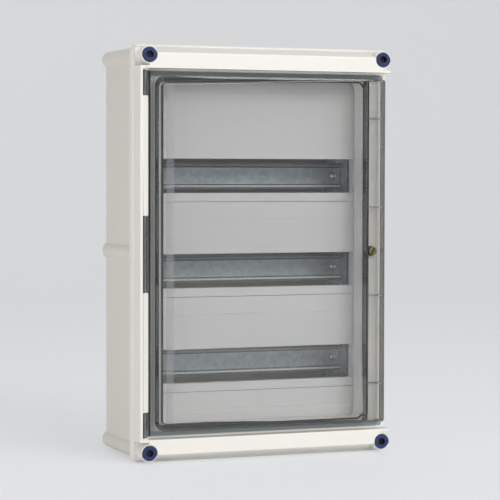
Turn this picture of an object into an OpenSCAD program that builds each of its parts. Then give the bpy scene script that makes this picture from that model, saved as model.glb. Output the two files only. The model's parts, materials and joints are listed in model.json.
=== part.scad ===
// Wall-mounted moulded distribution enclosure with three DIN rails behind slotted
// cover plates and a hinged clear door. Millimetres. X runs left to right, Y from
// the front to the wall, Z up. The origin is the bottom centre of the whole box.

/* [Enclosure] */
// Width over the cover lip
body_w = 360; // [350:1:420]
// Height over the cover lip
body_h = 540; // [530:1:600]
// Depth from the door face to the wall
body_d = 170; // [160:1:210]
// Thickness of the base side walls at the back
base_wall = 3.5; // [2.5:0.1:4.5]
// Thickness of the base back wall
back_wall = 4; // [3:0.1:6]
// How much each base wall leans in from front to back
base_draft = 1.5; // [0:0.1:2.5]
// Radius of the outer columns
column_r = 11.5; // [10.5:0.1:12.5]
// Distance of a column axis in from the lip, sideways
column_in_x = 15.5; // [15:0.1:16.5]
// Distance of a column axis in from the lip, up and down
column_in_z = 14.5; // [14:0.1:15.5]

/* [Cover frame] */
// Depth of the cover frame
cover_d = 36; // [35:0.5:40]
// Depth of the lip round the cover frame
lip_d = 13; // [10:0.5:14]
// Corner radius of the lip
lip_r = 10; // [6:0.5:14]
// Height of the top and bottom bars
bar_h = 20; // [18:0.5:24]
// Width of the left strip
strip_w = 5.7; // [5:0.1:7]
// Depth of the recess that holds the door
recess_d = 18; // [17:0.5:20]
// Wall thickness of the cover frame
cover_wall = 3; // [2.5:0.1:3.5]
// Distance of the opening in the cover frame in from the lip, sideways
aperture_in_x = 38; // [38:0.5:50]
// Distance of the opening in the cover frame in from the lip, up and down
aperture_in_z = 46.5; // [45:0.5:55]

/* [Door] */
// Thickness of the clear sheet
door_t = 3; // [2.5:0.1:3.5]
// How far the window stands in front of the door edge
dome_d = 12; // [10:0.5:12]
// Width of the grip trough at the right of the window
trough_w = 22; // [18:0.5:24]
// Radius of a hinge barrel
barrel_r = 4.5; // [4:0.1:4.8]
// Radius of a hinge pin
pin_r = 2; // [1.5:0.1:2.5]

/* [Rows] */
// Distance between rows
row_pitch = 125; // [120:1:130]
// Height of a slot
slot_h = 45; // [40:0.5:48]
// Width of one module
module_w = 17.5; // [17.5:0.1:17.6]
// Depth of the cover plates' front
plate_front = 45; // [44:0.5:48]
// Depth from a plate's front to the rail's front
device_d = 50; // [44:0.5:52]

/* [Fasteners] */
// Head radius of a cover screw
head_r = 9.8; // [9:0.1:10.5]
// Head thickness of a cover screw
head_t = 2.5; // [2:0.1:3]
// Radius of the lock screw's head
lock_head_r = 5.5; // [5:0.1:6]
// Radius of a wall fixing hole
fixing_r = 3.25; // [2.5:0.05:4]
// Distance of a wall fixing hole in from the lip, sideways
fixing_in_x = 70; // [65:1:90]
// Distance of a wall fixing hole in from the lip, up and down
fixing_in_z = 32; // [30:1:50]

/* [Hidden] */
$fn = 64;
fit = 0.06;
gap = 0.3;
over = 0.1;
mid_z = body_h / 2;
half_w = body_w / 2;
aperture_w = body_w - 2 * aperture_in_x;
aperture_h = body_h - 2 * aperture_in_z;
modules = floor((aperture_w - 2) / module_w);
fixing_x = half_w - fixing_in_x;
fixing_z = mid_z - fixing_in_z;

// Cover frame
lip_front = cover_d - lip_d;
lip_edge_r = 4;
side_in = 2.8;
side_in_back = 1.5;
end_in = 11.7;
end_in_back = 3;
face_r = 2.5;
face_x = half_w - side_in;
face_z = mid_z - end_in;
recess_x = face_x - strip_w;
recess_z = face_z - bar_h;
bar_mid_z = face_z - bar_h / 2;
bar_cavity_h = bar_h - 2 * cover_wall;
stile_in = 16;
stile_x = half_w - stile_in;
stile_back = lip_front + 2.2;
floor_back = recess_d + cover_wall;
aperture_r = 8;
collar_t = 2.5;
collar_back = plate_front - 2;
channel_front = lip_front + 2;
base_front = channel_front + 5;
channel_play = 1.1;
pocket_floor = lip_front - 3;
ledge_front = 3;
cover_inset = 4;
ledge_w = 7;
boss_d = head_t + 0.2;
head_room = 0.8;
inner_boss_r = 7.5;
cavity_end_in = 30;
cavity_half_w = half_w - cavity_end_in;
channel_r = 4;

// Base
base_in = 8.5;
base_half_w = half_w - base_in;
base_half_h = mid_z - base_in;
base_back_w = base_half_w - base_draft;
base_back_h = base_half_h - base_draft;
inner_half_w = base_back_w - base_wall;
inner_half_h = base_back_h - base_wall;
back_inner = body_d - back_wall;
base_edge_r = 8;
column_x = half_w - column_in_x;
column_z = mid_z - column_in_z;
column_end = body_d - 3;
column_end_r = 5;
fixing_boss_r = 9;
fixing_boss_t = 6;
gasket_out = 3.5;
gasket_in = 0.5;
knockout_r = 12.7;
knockout_step = 50;
knockout_floor = (base_half_h + base_back_h) / 2 - 1;

// Door
door_left = -recess_x + 8.7;
door_right = recess_x - 3;
door_half_h = recess_z - 3.3;
dome_left = door_left + 9.3;
rim_t = 2.6;
dome_right = door_right - rim_t - trough_w;
dome_half_h = door_half_h - 6.3;
dome_r = 13;
dome_right_r = 3.2;
door_left_r = 2;
rim_r = 3;
rim_front = 2;
rim_lap = 8;
seal_out = 1.8;
seal_in = 0.2;
dome_wall = 2.7;
sheet_front = dome_d;
sheet_back = dome_d + door_t;
panel_in = 11.6;
panel_band = 10.5;
panel_dip = 0.8;
hinge_x = -recess_x + 2.5;
hinge_d = 8;
notch_play = 0.5;
end_lug_h = 31;
mid_lug_h = 97;
lug_play = 1;
lug_end_z = door_half_h - end_lug_h / 2;
lugs = [[lug_end_z, end_lug_h], [0, mid_lug_h], [-lug_end_z, end_lug_h]];
pin_grip = 5;
rib_t = 2;
rib_step = 118;
rib_front = 5;

// Lock
lock_x = dome_right + trough_w / 2;
lock_head_t = 2;
lock_r = 3;
lock_tip = recess_d + 8;
lock_flat = 4;
clip_r = 4.8;
clip_t = 0.8;
keeper_r = 5.5;
keeper_flange_r = 7;
keeper_flange_t = 0.8;
keeper_hole_r = 4.1;
keeper_back = recess_d + 9;

// Cover screws
neck_r = 6.8;
neck_back = 9;
shank_r = 4;
tip_r = 3;
socket_r = 4.8;
socket_d = 4.5;
driver_d = 6.5;
driver_w = 1.8;
insert_r = 5;
insert_l = 16;

// Plates, rails and uprights
slot_half_w = (modules * module_w + 1) / 2;
row_mid = -24.5;
rows = [row_mid + row_pitch, row_mid, row_mid - row_pitch];
plate_t = 2;
plate_in = 21;
plate_half_w = half_w - plate_in;
plate_lip = 12;
below_slot = 11.2;
plate_joint = 0.6;
bead_drop = 22;
bead_r = 0.7;
leg_r = 4;
leg_up = 6.5;
leg_down = 9;
short_plate = 60;
leg_in = 26.5;
leg_x = half_w - leg_in;
plate_back = plate_front + plate_t;
rail_front = plate_front + device_d;
rail_d = 7.5;
rail_h = 35;
rail_web_h = 27;
rail_t = 1;
rail_back = rail_front + rail_d;
steel_t = 1.5;
upright_in_x = 31;
upright_in_z = 30;
upright_x = half_w - upright_in_x;
upright_web = 21.5;
upright_half_h = mid_z - upright_in_z;
upright_depth = 25;
upright_front = rail_back + steel_t - upright_depth;
upright_flange = 13.5;
rail_half_l = upright_x - steel_t - 1;
rail_screw_x = upright_x - 12.5;
post_x = upright_x - 10.5;
post_in_z = 60;
post_z = mid_z - post_in_z;
post_screw_l = 24;
post_r = 8;
post_rib_h = 36;
post_rib_w = 15;
post_rib_t = 2.5;
post_hole_l = 48;
m5_r = 2.4;
m5_hole = 2.5;
pan_r = 4.6;
pan_t = 3;
m4_r = 1.9;
m4_head_r = 3.6;
m4_head_t = 2.2;
m4_hole = 2;

plate_lap_top = 4;
plate_lap_bottom = 5;
plate_top_edge = aperture_h / 2 + plate_lap_top;
plate_bottom_edge = -aperture_h / 2 - plate_lap_bottom;

// Puts shapes that are drawn from the door face back, and about mid height, in place
module in_box() {
    translate([0, -body_d / 2, mid_z]) children();
}

// A flat shape in X and Z, as deep as from one depth to another
module slab(front, back) {
    translate([0, back, 0]) rotate([90, 0, 0]) linear_extrude(back - front) children();
}

// A section in depth and Z, drawn out along X
module along_x(x0, x1) {
    translate([x0, 0, 0]) rotate([90, 0, 90]) linear_extrude(x1 - x0) children();
}

// A section in X and depth, drawn out along Z
module along_z(z0, z1) {
    translate([0, 0, z0]) linear_extrude(z1 - z0) children();
}

// A round bar along the depth
module bar_y(r, front, back) {
    translate([0, back, 0]) rotate([90, 0, 0]) cylinder(r = r, h = back - front);
}

module at_xz(x, z) {
    translate([x, 0, z]) children();
}

module box_2d(x0, x1, z0, z1) {
    translate([x0, z0]) square([x1 - x0, z1 - z0]);
}

// A rectangle with one radius for its left corners and one for its right corners
module round_box(x0, x1, z0, z1, r_left, r_right) {
    box_2d(x0 + r_left, x1 - r_right, z0, z1);
    box_2d(x0, x0 + r_left + over, z0 + r_left, z1 - r_left);
    box_2d(x1 - r_right - over, x1, z0 + r_right, z1 - r_right);
    for (z = [z0 + r_left, z1 - r_left]) translate([x0 + r_left, z]) circle(r_left);
    for (z = [z0 + r_right, z1 - r_right]) translate([x1 - r_right, z]) circle(r_right);
}

module centred_box(w, h, r) {
    round_box(-w / 2, w / 2, -h / 2, h / 2, r, r);
}

// Half section of a box that widens from its rounded front edge backwards
module wedge(front_half, back_half, depth, r) {
    lean = atan((back_half - front_half) / depth);
    drop = r * (1 - sin(lean)) / cos(lean);
    start = front_half - drop;
    polygon([
        [0, -start], [0, start],
        [r * (1 - sin(lean)), start + r * cos(lean)],
        [depth, back_half], [depth, -back_half],
        [r * (1 - sin(lean)), -start - r * cos(lean)]
    ]);
    for (s = [-1, 1]) translate([r, s * start]) circle(r);
}

// A box whose four sides lean outwards with depth, with rounded front edges
module leaning_box(front_x, back_x, front_z, back_z, depth, r) {
    intersection() {
        along_x(-back_x - 1, back_x + 1) wedge(front_z, back_z, depth, r);
        along_z(-back_z - 1, back_z + 1) mirror([1, -1]) wedge(front_x, back_x, depth, r);
    }
}

// Repeats what is drawn in the top right corner in all four
module each_corner() {
    for (left = [0, 1], bottom = [0, 1]) mirror([left, 0, 0]) mirror([0, 0, bottom]) children();
}

// Inside outline of the base: the walls, less a block round each corner column.
// A positive inset shrinks it.
module inside_2d(inset) {
    block_r = column_r + inset;
    reach = column_in_x + column_r;
    difference() {
        box_2d(-inner_half_w + inset, inner_half_w - inset, -inner_half_h + inset, inner_half_h - inset);
        for (sx = [-1, 1], sz = [-1, 1]) translate([sx * column_x, sz * column_z]) {
            circle(block_r);
            box_2d(min(0, sx * reach), max(0, sx * reach), -block_r, block_r);
            box_2d(-block_r, block_r, min(0, sz * reach), max(0, sz * reach));
        }
    }
}

// ---- Base ----

module column(front) {
    length = column_end - front;
    translate([0, front, 0]) rotate([-90, 0, 0]) rotate_extrude() {
        square([column_r, length - column_end_r]);
        square([column_r - column_end_r, length]);
        translate([column_r - column_end_r, length - column_end_r]) intersection() {
            circle(column_end_r);
            square(column_end_r);
        }
    }
}

// A standoff on the back wall with a cross of ribs round its foot
module post() {
    bar_y(post_r, rail_back + steel_t, back_inner + over);
    for (turn = [0, 90]) rotate([0, turn, 0]) slab(back_inner - post_rib_h, back_inner + over)
        box_2d(-post_rib_w, post_rib_w, -post_rib_t / 2, post_rib_t / 2);
}

// A thin round groove that marks where a cable entry can be knocked out
module knockout_ring() {
    difference() {
        cylinder(r = knockout_r, h = 4, center = true);
        cylinder(r = knockout_r - 1, h = 5, center = true);
    }
}

module base_box() {
    color([0.80, 0.80, 0.77]) in_box() difference() {
        union() {
            difference() {
                union() {
                    translate([0, body_d, 0]) mirror([0, 1, 0])
                        leaning_box(base_back_w, base_half_w, base_back_h, base_half_h,
                            body_d - base_front, base_edge_r);
                    each_corner() at_xz(column_x, column_z) column(cover_d);
                    for (s = [-1, 1]) at_xz(s * column_x, 0) column(cover_d);
                }
                slab(base_front - over, back_inner) inside_2d(0);
            }
            for (sx = [-1, 1], z = [-post_z, 0, post_z]) at_xz(sx * post_x, z) post();
            each_corner() at_xz(fixing_x, fixing_z)
                bar_y(fixing_boss_r, back_inner - fixing_boss_t, back_inner + over);
        }
        each_corner() at_xz(column_x, column_z) bar_y(insert_r, base_front - over, base_front + insert_l);
        for (sx = [-1, 1], z = [-post_z, 0, post_z]) at_xz(sx * post_x, z)
            bar_y(m5_hole, rail_back, rail_back + post_hole_l);
        each_corner() at_xz(fixing_x, fixing_z) bar_y(fixing_r, back_inner - fixing_boss_t - 1, body_d + 1);
        for (s = [-1, 1], n = [-2:2])
            translate([n * knockout_step, (cover_d + body_d) / 2, s * (knockout_floor + 2)])
                knockout_ring();
    }
}

module column_inserts() {
    color([0.72, 0.58, 0.30]) in_box() each_corner() at_xz(column_x, column_z) difference() {
        bar_y(insert_r, base_front, base_front + insert_l);
        bar_y(tip_r + fit, base_front - 1, base_front + insert_l + 1);
    }
}

// ---- Cover ----

module cover_gasket() {
    color([0.22, 0.22, 0.22]) in_box() slab(channel_front, base_front) difference() {
        inside_2d(-gasket_out);
        inside_2d(gasket_in);
    }
}

// The part of a corner that is cut away round the boss, down to a sloping pocket floor
module corner_pocket() {
    slab(-1, pocket_floor) difference() {
        union() {
            box_2d(column_x, half_w + 1, face_z - bar_h + 3, mid_z + 1);
            box_2d(column_x - column_r, half_w + 1, column_z, mid_z + 1);
        }
        translate([column_x, column_z]) circle(column_r);
    }
}

module hinge_notches() {
    for (lug = lugs) at_xz(0, lug[0]) along_z(-lug[1] / 2 - lug_play, lug[1] / 2 + lug_play)
        box_2d(hinge_x - barrel_r - notch_play, -recess_x + ledge_w + over, -1, recess_d);
}

// Everything in front of the door bed, open to the right over the sloping stile
module door_recess() {
    along_z(-recess_z, recess_z) polygon([
        [-recess_x + ledge_w, -1], [half_w + 1, -1], [half_w + 1, stile_back],
        [stile_x, recess_d], [-recess_x + ledge_w, recess_d]
    ]);
    along_z(-recess_z, recess_z) box_2d(-recess_x, -recess_x + ledge_w + over, -1, ledge_front);
}

module cover_frame() {
    color([0.93, 0.93, 0.90]) in_box() difference() {
        union() {
            difference() {
                union() {
                    leaning_box(face_x, half_w - side_in_back, face_z, mid_z - end_in_back,
                        lip_front + over, face_r);
                    intersection() {
                        translate([0, lip_front, 0])
                            leaning_box(half_w, half_w, mid_z, mid_z, lip_d, lip_edge_r);
                        slab(lip_front, cover_d) centred_box(body_w, body_h, lip_r);
                    }
                }
                each_corner() corner_pocket();
                door_recess();
                hinge_notches();
                slab(channel_front, cover_d + over) centred_box(2 * (base_half_w + channel_play),
                    2 * (base_half_h + channel_play), channel_r);
                slab(floor_back, channel_front + over) inside_2d(cover_inset);
                for (s = [-1, 1]) slab(cover_wall, floor_back + over)
                    box_2d(-cavity_half_w, cavity_half_w, s * bar_mid_z - bar_cavity_h / 2,
                        s * bar_mid_z + bar_cavity_h / 2);
            }
            each_corner() at_xz(column_x, column_z) {
                bar_y(column_r, boss_d, lip_front);
                bar_y(inner_boss_r, lip_front, base_front - gap);
            }
            slab(recess_d, collar_back)
                centred_box(aperture_w + 2 * collar_t, aperture_h + 2 * collar_t, aperture_r + collar_t);
        }
        slab(-1, collar_back + 1) centred_box(aperture_w, aperture_h, aperture_r);
        each_corner() at_xz(column_x, column_z) {
            bar_y(head_r + head_room, -1, boss_d);
            bar_y(neck_r + fit, -1, neck_back + gap);
            bar_y(shank_r + fit, neck_back, base_front);
        }
        at_xz(lock_x, 0) bar_y(keeper_r, recess_d - 1, keeper_back);
        for (lug = lugs) translate([hinge_x, hinge_d, lug[0]])
            cylinder(r = pin_r, h = lug[1] + 2 * pin_grip, center = true);
    }
}

// A screw with a round socket and a crossed slot in its head, a neck, a shank and a thin tip
module cover_screw(sx, sz) {
    color([0.10, 0.12, 0.42]) in_box() at_xz(sx * column_x, sz * column_z) difference() {
        union() {
            translate([0, head_t, 0]) rotate([90, 0, 0]) rotate_extrude() {
                square([head_r, head_t - 1]);
                square([head_r - 1, head_t]);
                translate([head_r - 1, head_t - 1]) intersection() {
                    circle(1);
                    square(1);
                }
            }
            bar_y(neck_r, head_t - over, neck_back);
            bar_y(shank_r, neck_back - over, base_front - 1);
            bar_y(tip_r, base_front - 2, base_front + insert_l - 2);
        }
        bar_y(socket_r, -1, socket_d);
        for (turn = [0, 90]) rotate([0, turn, 0])
            slab(socket_d - over, driver_d)
                box_2d(-socket_r + 0.8, socket_r - 0.8, -driver_w / 2, driver_w / 2);
    }
}

module cover_screw_top_left() { cover_screw(-1, 1); }
module cover_screw_top_right() { cover_screw(1, 1); }
module cover_screw_bottom_left() { cover_screw(-1, -1); }
module cover_screw_bottom_right() { cover_screw(1, -1); }

// ---- Door ----

module door_gasket() {
    color([0.06, 0.06, 0.06]) in_box() slab(sheet_back + gap, recess_d) difference() {
        centred_box(aperture_w + 2 * seal_out, aperture_h + 2 * seal_out, aperture_r + seal_out);
        centred_box(aperture_w - 2 * seal_in, aperture_h - 2 * seal_in, aperture_r - seal_in);
    }
}

module dome_2d(inset) {
    round_box(dome_left + inset, dome_right - inset, -dome_half_h + inset, dome_half_h - inset,
        dome_r - inset, dome_right_r - inset);
}

// Section of a hinge lug: the barrel and the web to the edge of the door
module lug_2d() {
    translate([hinge_x, hinge_d]) circle(barrel_r);
    polygon([
        [hinge_x, hinge_d + barrel_r], [door_left + 1, sheet_back], [door_left + 1, sheet_front],
        [hinge_x + barrel_r, hinge_d]
    ]);
}

// The shallow dip in the face of the window, with its sloping border
module panel_dip() {
    x0 = dome_left + panel_in;
    x1 = dome_right - panel_in;
    z1 = dome_half_h - panel_in;
    hull() {
        slab(-over, 0) box_2d(x0, x1, -z1, z1);
        slab(0, panel_dip) box_2d(x0 + panel_band, x1 - panel_band, -z1 + panel_band, z1 - panel_band);
    }
}

module door() {
    color([0.35, 0.38, 0.40, 0.45]) in_box() difference() {
        union() {
            difference() {
                union() {
                    slab(sheet_front, sheet_back)
                        round_box(door_left, door_right, -door_half_h, door_half_h, door_left_r, rim_r);
                    slab(0, sheet_back) dome_2d(0);
                    slab(rim_front, sheet_back) round_box(dome_right - rim_lap, door_right,
                        -dome_half_h, dome_half_h, 1, rim_r);
                }
                slab(door_t, sheet_back + over) dome_2d(dome_wall);
                slab(-1, sheet_front) box_2d(dome_right, door_right - rim_t,
                    -dome_half_h + rim_t, dome_half_h - rim_t);
                panel_dip();
            }
            for (n = [-1.5:1.5]) at_xz(0, n * rib_step) slab(rib_front, sheet_front + over)
                box_2d(dome_right - over, door_right - rim_t + over, -rib_t / 2, rib_t / 2);
            for (lug = lugs) at_xz(0, lug[0]) along_z(-lug[1] / 2, lug[1] / 2) lug_2d();
        }
        for (lug = lugs) translate([hinge_x, hinge_d, lug[0]])
            cylinder(r = pin_r + fit, h = lug[1] + 2, center = true);
        at_xz(lock_x, 0) bar_y(lock_r + fit, sheet_front - 1, sheet_back + 1);
    }
}

module hinge_pin(lug) {
    color([0.75, 0.76, 0.78]) in_box() translate([hinge_x, hinge_d, lug[0]])
        cylinder(r = pin_r, h = lug[1] + 2 * pin_grip - 1, center = true);
}

module hinge_pin_top() { hinge_pin(lugs[0]); }
module hinge_pin_middle() { hinge_pin(lugs[1]); }
module hinge_pin_bottom() { hinge_pin(lugs[2]); }

// ---- Lock ----

module lock_screw() {
    color([0.62, 0.60, 0.36]) in_box() at_xz(lock_x, 0) difference() {
        union() {
            bar_y(lock_head_r, sheet_front - lock_head_t - 0.1, sheet_front - 0.1);
            bar_y(lock_r, sheet_front - 1, lock_tip);
        }
        rotate([0, -60, 0]) slab(sheet_front - 3, sheet_front - 1)
            box_2d(-lock_head_r - 1, lock_head_r + 1, -0.7, 0.7);
        for (s = [-1, 1]) slab(lock_tip - 5, lock_tip + 1)
            box_2d(-lock_r - 1, lock_r + 1, s * (lock_flat / 2 + 2) - 2, s * (lock_flat / 2 + 2) + 2);
        difference() {
            bar_y(lock_r + 1, sheet_back + gap, sheet_back + gap + clip_t);
            bar_y(lock_r - 0.6, sheet_back, sheet_back + 2);
        }
    }
}

module lock_clip() {
    color([0.45, 0.46, 0.48]) in_box() at_xz(lock_x, 0) slab(sheet_back + gap, sheet_back + gap + clip_t)
        difference() {
            circle(clip_r);
            circle(lock_r - 0.6);
            translate([0, -clip_r]) square([2.4, 2 * clip_r], center = true);
        }
}

module lock_keeper() {
    color([0.72, 0.58, 0.30]) in_box() at_xz(lock_x, 0) difference() {
        union() {
            bar_y(keeper_flange_r, recess_d - keeper_flange_t, recess_d);
            bar_y(keeper_r, recess_d - over, keeper_back);
        }
        bar_y(keeper_hole_r, recess_d - 2, keeper_back + 1);
    }
}

// ---- Cover plates ----

// A shallow tray, open behind, between two heights, with its legs and a bead on its face
module cover_plate(bottom, top, slot_z, has_slot, leg_zs, bead_z) {
    color([0.78, 0.79, 0.80]) in_box() difference() {
        union() {
            slab(plate_front, plate_front + plate_lip)
                box_2d(-plate_half_w, plate_half_w, bottom, top);
            for (s = [-1, 1], z = leg_zs) at_xz(s * leg_x, z) bar_y(leg_r, plate_back, upright_front);
            intersection() {
                translate([0, plate_front + 0.3, bead_z]) rotate([0, 90, 0])
                    cylinder(r = bead_r, h = 2 * slot_half_w, center = true);
                slab(plate_front - 2, plate_front + 1) box_2d(-half_w, half_w, bottom, top);
            }
        }
        difference() {
            slab(plate_back, plate_front + plate_lip + over)
                box_2d(-plate_half_w + plate_t, plate_half_w - plate_t, bottom + plate_t, top - plate_t);
            for (s = [-1, 1], z = leg_zs) at_xz(s * leg_x, z) bar_y(leg_r, plate_back - 1, upright_front);
            if (has_slot) slab(plate_back - 1, plate_front + plate_lip + 1)
                box_2d(-slot_half_w - plate_t, slot_half_w + plate_t,
                    slot_z - slot_h / 2 - plate_t, slot_z + slot_h / 2 + plate_t);
        }
        if (has_slot) slab(plate_front - 1, plate_front + plate_lip + 1)
            box_2d(-slot_half_w, slot_half_w, slot_z - slot_h / 2, slot_z + slot_h / 2);
        for (s = [-1, 1], z = leg_zs) at_xz(s * leg_x, z) bar_y(m4_hole, plate_front - 1, upright_front + 1);
    }
}

function plate_bottom(row) = rows[row] - slot_h / 2 - below_slot;
function plate_top(row) = row == 0 ? plate_top_edge : plate_bottom(row - 1) - plate_joint;
function leg_heights(bottom, top) = top - bottom < short_plate ? [(top + bottom) / 2]
    : [bottom + leg_up, top - leg_down];
foot_top = plate_bottom(2) - plate_joint;
plate_spans = [for (row = [0:2]) [plate_bottom(row), plate_top(row)], [plate_bottom_edge, foot_top]];

module row_plate(row) {
    bottom = plate_bottom(row);
    top = plate_top(row);
    bead_z = row == 0 ? top - 1 : top - bead_drop;
    cover_plate(bottom, top, rows[row], true, leg_heights(bottom, top), bead_z);
}

module cover_plate_top() { row_plate(0); }
module cover_plate_middle() { row_plate(1); }
module cover_plate_bottom() { row_plate(2); }
module cover_plate_foot() {
    cover_plate(plate_bottom_edge, foot_top, 0, false, leg_heights(plate_bottom_edge, foot_top),
        foot_top - bead_drop);
}

// A pan head with a crossed slot on a plain shank
module pan_screw(head_r, head_t, shank, seat, end) {
    difference() {
        union() {
            bar_y(head_r, seat - head_t, seat);
            bar_y(shank, seat - over, end);
        }
        for (turn = [0, 90]) rotate([0, turn, 0]) slab(seat - head_t - 1, seat - head_t + 1.4)
            box_2d(-head_r * 0.55, head_r * 0.55, -0.5, 0.5);
    }
}

module plate_screws() {
    color([0.70, 0.72, 0.74]) in_box() for (span = plate_spans, s = [-1, 1])
        for (z = leg_heights(span[0], span[1])) at_xz(s * leg_x, z)
            pan_screw(m4_head_r, m4_head_t, m4_r, plate_front, upright_front + 6);
}

// ---- Rails and uprights ----

module rail_2d() {
    half = rail_h / 2;
    web = rail_web_h / 2;
    difference() {
        union() {
            box_2d(rail_front, rail_front + rail_t, -half, half);
            box_2d(rail_front, rail_back, -web, web);
        }
        box_2d(rail_front - 1, rail_back - rail_t, -web + rail_t, web - rail_t);
    }
}

module din_rail(row) {
    color([0.62, 0.65, 0.67]) in_box() at_xz(0, rows[row]) difference() {
        along_x(-rail_half_l, rail_half_l) rail_2d();
        for (s = [-1, 1]) at_xz(s * rail_screw_x, 0) bar_y(m5_hole, rail_front, rail_back + 1);
    }
}

module din_rail_top() { din_rail(0); }
module din_rail_middle() { din_rail(1); }
module din_rail_bottom() { din_rail(2); }

module rail_screws() {
    color([0.75, 0.77, 0.78]) in_box() for (s = [-1, 1], z = rows) at_xz(s * rail_screw_x, z)
        pan_screw(pan_r, pan_t, m5_r, rail_back - rail_t, rail_back + steel_t + 4);
}

// Bent steel section: web, outer wall, front flange and a turned-back edge
module upright_2d() {
    back = rail_back + steel_t;
    box_2d(upright_x - upright_web, upright_x, rail_back, back);
    box_2d(upright_x - steel_t, upright_x, upright_front, back);
    box_2d(upright_x - steel_t, upright_x + upright_flange, upright_front, upright_front + steel_t);
    box_2d(upright_x - upright_web, upright_x - upright_web + steel_t, rail_back, back + 6);
}

module upright() {
    color([0.66, 0.69, 0.71]) in_box() difference() {
        along_z(-upright_half_h, upright_half_h) upright_2d();
        for (z = rows) at_xz(rail_screw_x, z) bar_y(m5_hole, rail_back - 1, rail_back + 3);
        for (z = [-post_z, 0, post_z]) at_xz(post_x, z) bar_y(m5_hole, rail_back - 1, rail_back + 3);
        for (span = plate_spans) for (z = leg_heights(span[0], span[1])) at_xz(leg_x, z)
            bar_y(m4_hole, upright_front - 1, upright_front + 3);
    }
}

module upright_left() { mirror([1, 0, 0]) upright(); }
module upright_right() { upright(); }

module upright_screws() {
    color([0.75, 0.77, 0.78]) in_box() for (s = [-1, 1], z = [-post_z, 0, post_z]) at_xz(s * post_x, z)
        pan_screw(pan_r, pan_t, m5_r, rail_back, rail_back + post_screw_l);
}

base_box();
column_inserts();
cover_gasket();
cover_frame();
cover_screw_top_left();
cover_screw_top_right();
cover_screw_bottom_left();
cover_screw_bottom_right();
door_gasket();
door();
hinge_pin_top();
hinge_pin_middle();
hinge_pin_bottom();
lock_screw();
lock_clip();
lock_keeper();
cover_plate_top();
cover_plate_middle();
cover_plate_bottom();
cover_plate_foot();
plate_screws();
din_rail_top();
din_rail_middle();
din_rail_bottom();
rail_screws();
upright_left();
upright_right();
upright_screws();
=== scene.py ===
import json
import math

import bmesh
import bpy
from mathutils import Matrix, Vector
from mathutils.bvhtree import BVHTree


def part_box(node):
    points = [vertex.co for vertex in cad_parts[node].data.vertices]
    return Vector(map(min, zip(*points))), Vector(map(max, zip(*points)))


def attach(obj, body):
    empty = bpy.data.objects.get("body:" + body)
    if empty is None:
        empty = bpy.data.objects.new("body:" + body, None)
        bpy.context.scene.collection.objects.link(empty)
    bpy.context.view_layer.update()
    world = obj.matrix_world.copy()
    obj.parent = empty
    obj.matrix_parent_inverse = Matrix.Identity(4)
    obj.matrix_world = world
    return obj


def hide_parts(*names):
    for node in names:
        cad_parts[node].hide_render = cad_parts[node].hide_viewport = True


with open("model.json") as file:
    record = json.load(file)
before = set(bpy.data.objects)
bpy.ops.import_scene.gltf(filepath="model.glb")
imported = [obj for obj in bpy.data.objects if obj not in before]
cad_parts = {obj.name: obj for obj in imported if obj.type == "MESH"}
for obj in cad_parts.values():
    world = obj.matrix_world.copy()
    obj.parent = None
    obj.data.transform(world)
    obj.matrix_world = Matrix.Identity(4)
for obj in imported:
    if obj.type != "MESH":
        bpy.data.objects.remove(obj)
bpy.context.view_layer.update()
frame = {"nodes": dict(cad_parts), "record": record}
nodes = frame["nodes"]
scene = bpy.context.scene
scene.view_settings.view_transform = "Standard"


def hexColour(code):
    values = [int(code[i:i + 2], 16) / 255 for i in (1, 3, 5)]
    linear = [v / 12.92 if v <= 0.04045 else ((v + 0.055) / 1.055) ** 2.4 for v in values]
    return (*linear, 1.0)


def feed(tree, socket, value):
    # a socket takes a link from another socket, or a constant
    if isinstance(value, bpy.types.NodeSocket):
        tree.links.new(value, socket)
    else:
        socket.default_value = value


def put(tree, kind, inputs=None, **settings):
    node = tree.nodes.new(kind)
    for key, value in settings.items():
        setattr(node, key, value)
    for label, value in (inputs or {}).items():
        feed(tree, node.inputs[label], value)
    return node


def maths(tree, operation, *values, **settings):
    inputs = dict(enumerate(values))
    return put(tree, "ShaderNodeMath", inputs, operation=operation, **settings).outputs[0]


def mixColour(tree, mask, under, over):
    inputs = {"Factor": mask, "A": under, "B": over}
    return put(tree, "ShaderNodeMix", inputs, data_type="RGBA").outputs["Result"]


def startMaterial(name):
    material = bpy.data.materials.new(name)
    material.use_nodes = True
    tree = material.node_tree
    return material, tree, tree.nodes["Principled BSDF"]


cameraValues = {
    "place": (-1.02864, -2.57165, 0.37823),  # metres, to the left and above the middle
    "yaw": 21.947,      # degrees, turned towards the enclosure's right side
    "pitch": 2.223,     # degrees, looking down
    "roll": 0.119,
    "lens": 148.28,     # millimetres, on a sensor of this width
    "sensor": 36,
    "farthest": 60,     # metres
}


def makeCamera(values):
    yaw, pitch, roll = (math.radians(values[key]) for key in ("yaw", "pitch", "roll"))
    level = math.cos(pitch)
    ahead = Vector((math.sin(yaw) * level, math.cos(yaw) * level, -math.sin(pitch)))
    right = Vector((math.cos(yaw), -math.sin(yaw), 0))
    up = right.cross(ahead)
    rolledRight = right * math.cos(roll) + up * math.sin(roll)
    rolledUp = up * math.cos(roll) - right * math.sin(roll)
    data = bpy.data.cameras.new("studioCamera")
    data.lens = values["lens"]
    data.sensor_width = values["sensor"]
    data.clip_end = values["farthest"]
    camera = bpy.data.objects.new("studioCamera", data)
    turn = Matrix((rolledRight, rolledUp, -ahead)).transposed().to_4x4()
    camera.matrix_world = Matrix.Translation(values["place"]) @ turn
    scene.collection.objects.link(camera)
    scene.camera = camera


makeCamera(cameraValues)
print("camera made")

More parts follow.
